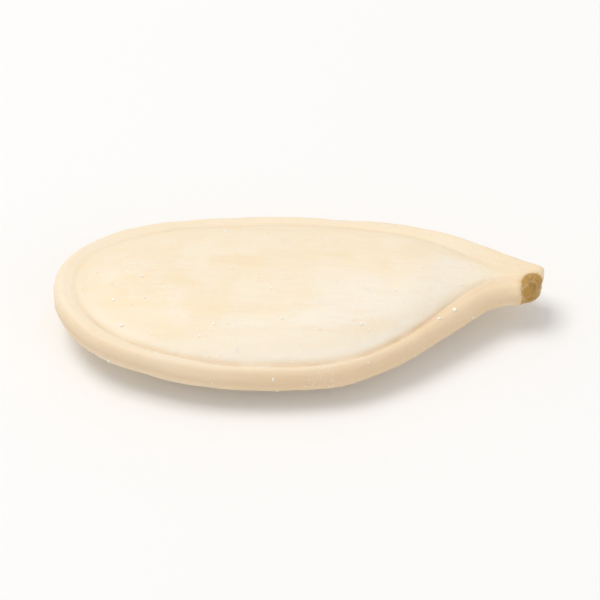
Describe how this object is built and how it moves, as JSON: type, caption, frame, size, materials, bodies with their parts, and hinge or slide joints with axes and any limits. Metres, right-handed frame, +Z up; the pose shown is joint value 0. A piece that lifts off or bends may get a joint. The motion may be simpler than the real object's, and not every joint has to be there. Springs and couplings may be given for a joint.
{
  "type": "pumpkin seed",
  "caption": "Flat teardrop seed in its pale hull, with a rounded rim, a fine groove inside it, low domed faces and a short blunt beak. It lies on one face.",
  "frame": {"origin": "middle of the seed's box in plan, on the surface that it lies on", "axes": "+X from the round end to the beak, along the length; +Y across the width; +Z up, through the thickness"},
  "size_m": [0.02, 0.0094, 0.0029],
  "materials": {
    "hull": "dry woody seed coat, cream, satin to matt, with a faint bloom of salt",
    "salt": "fine white salt grains, slightly see-through"
  },
  "bodies": {
    "root": {"pumpkin_seed": "hull"}
  },
  "joints": []
}
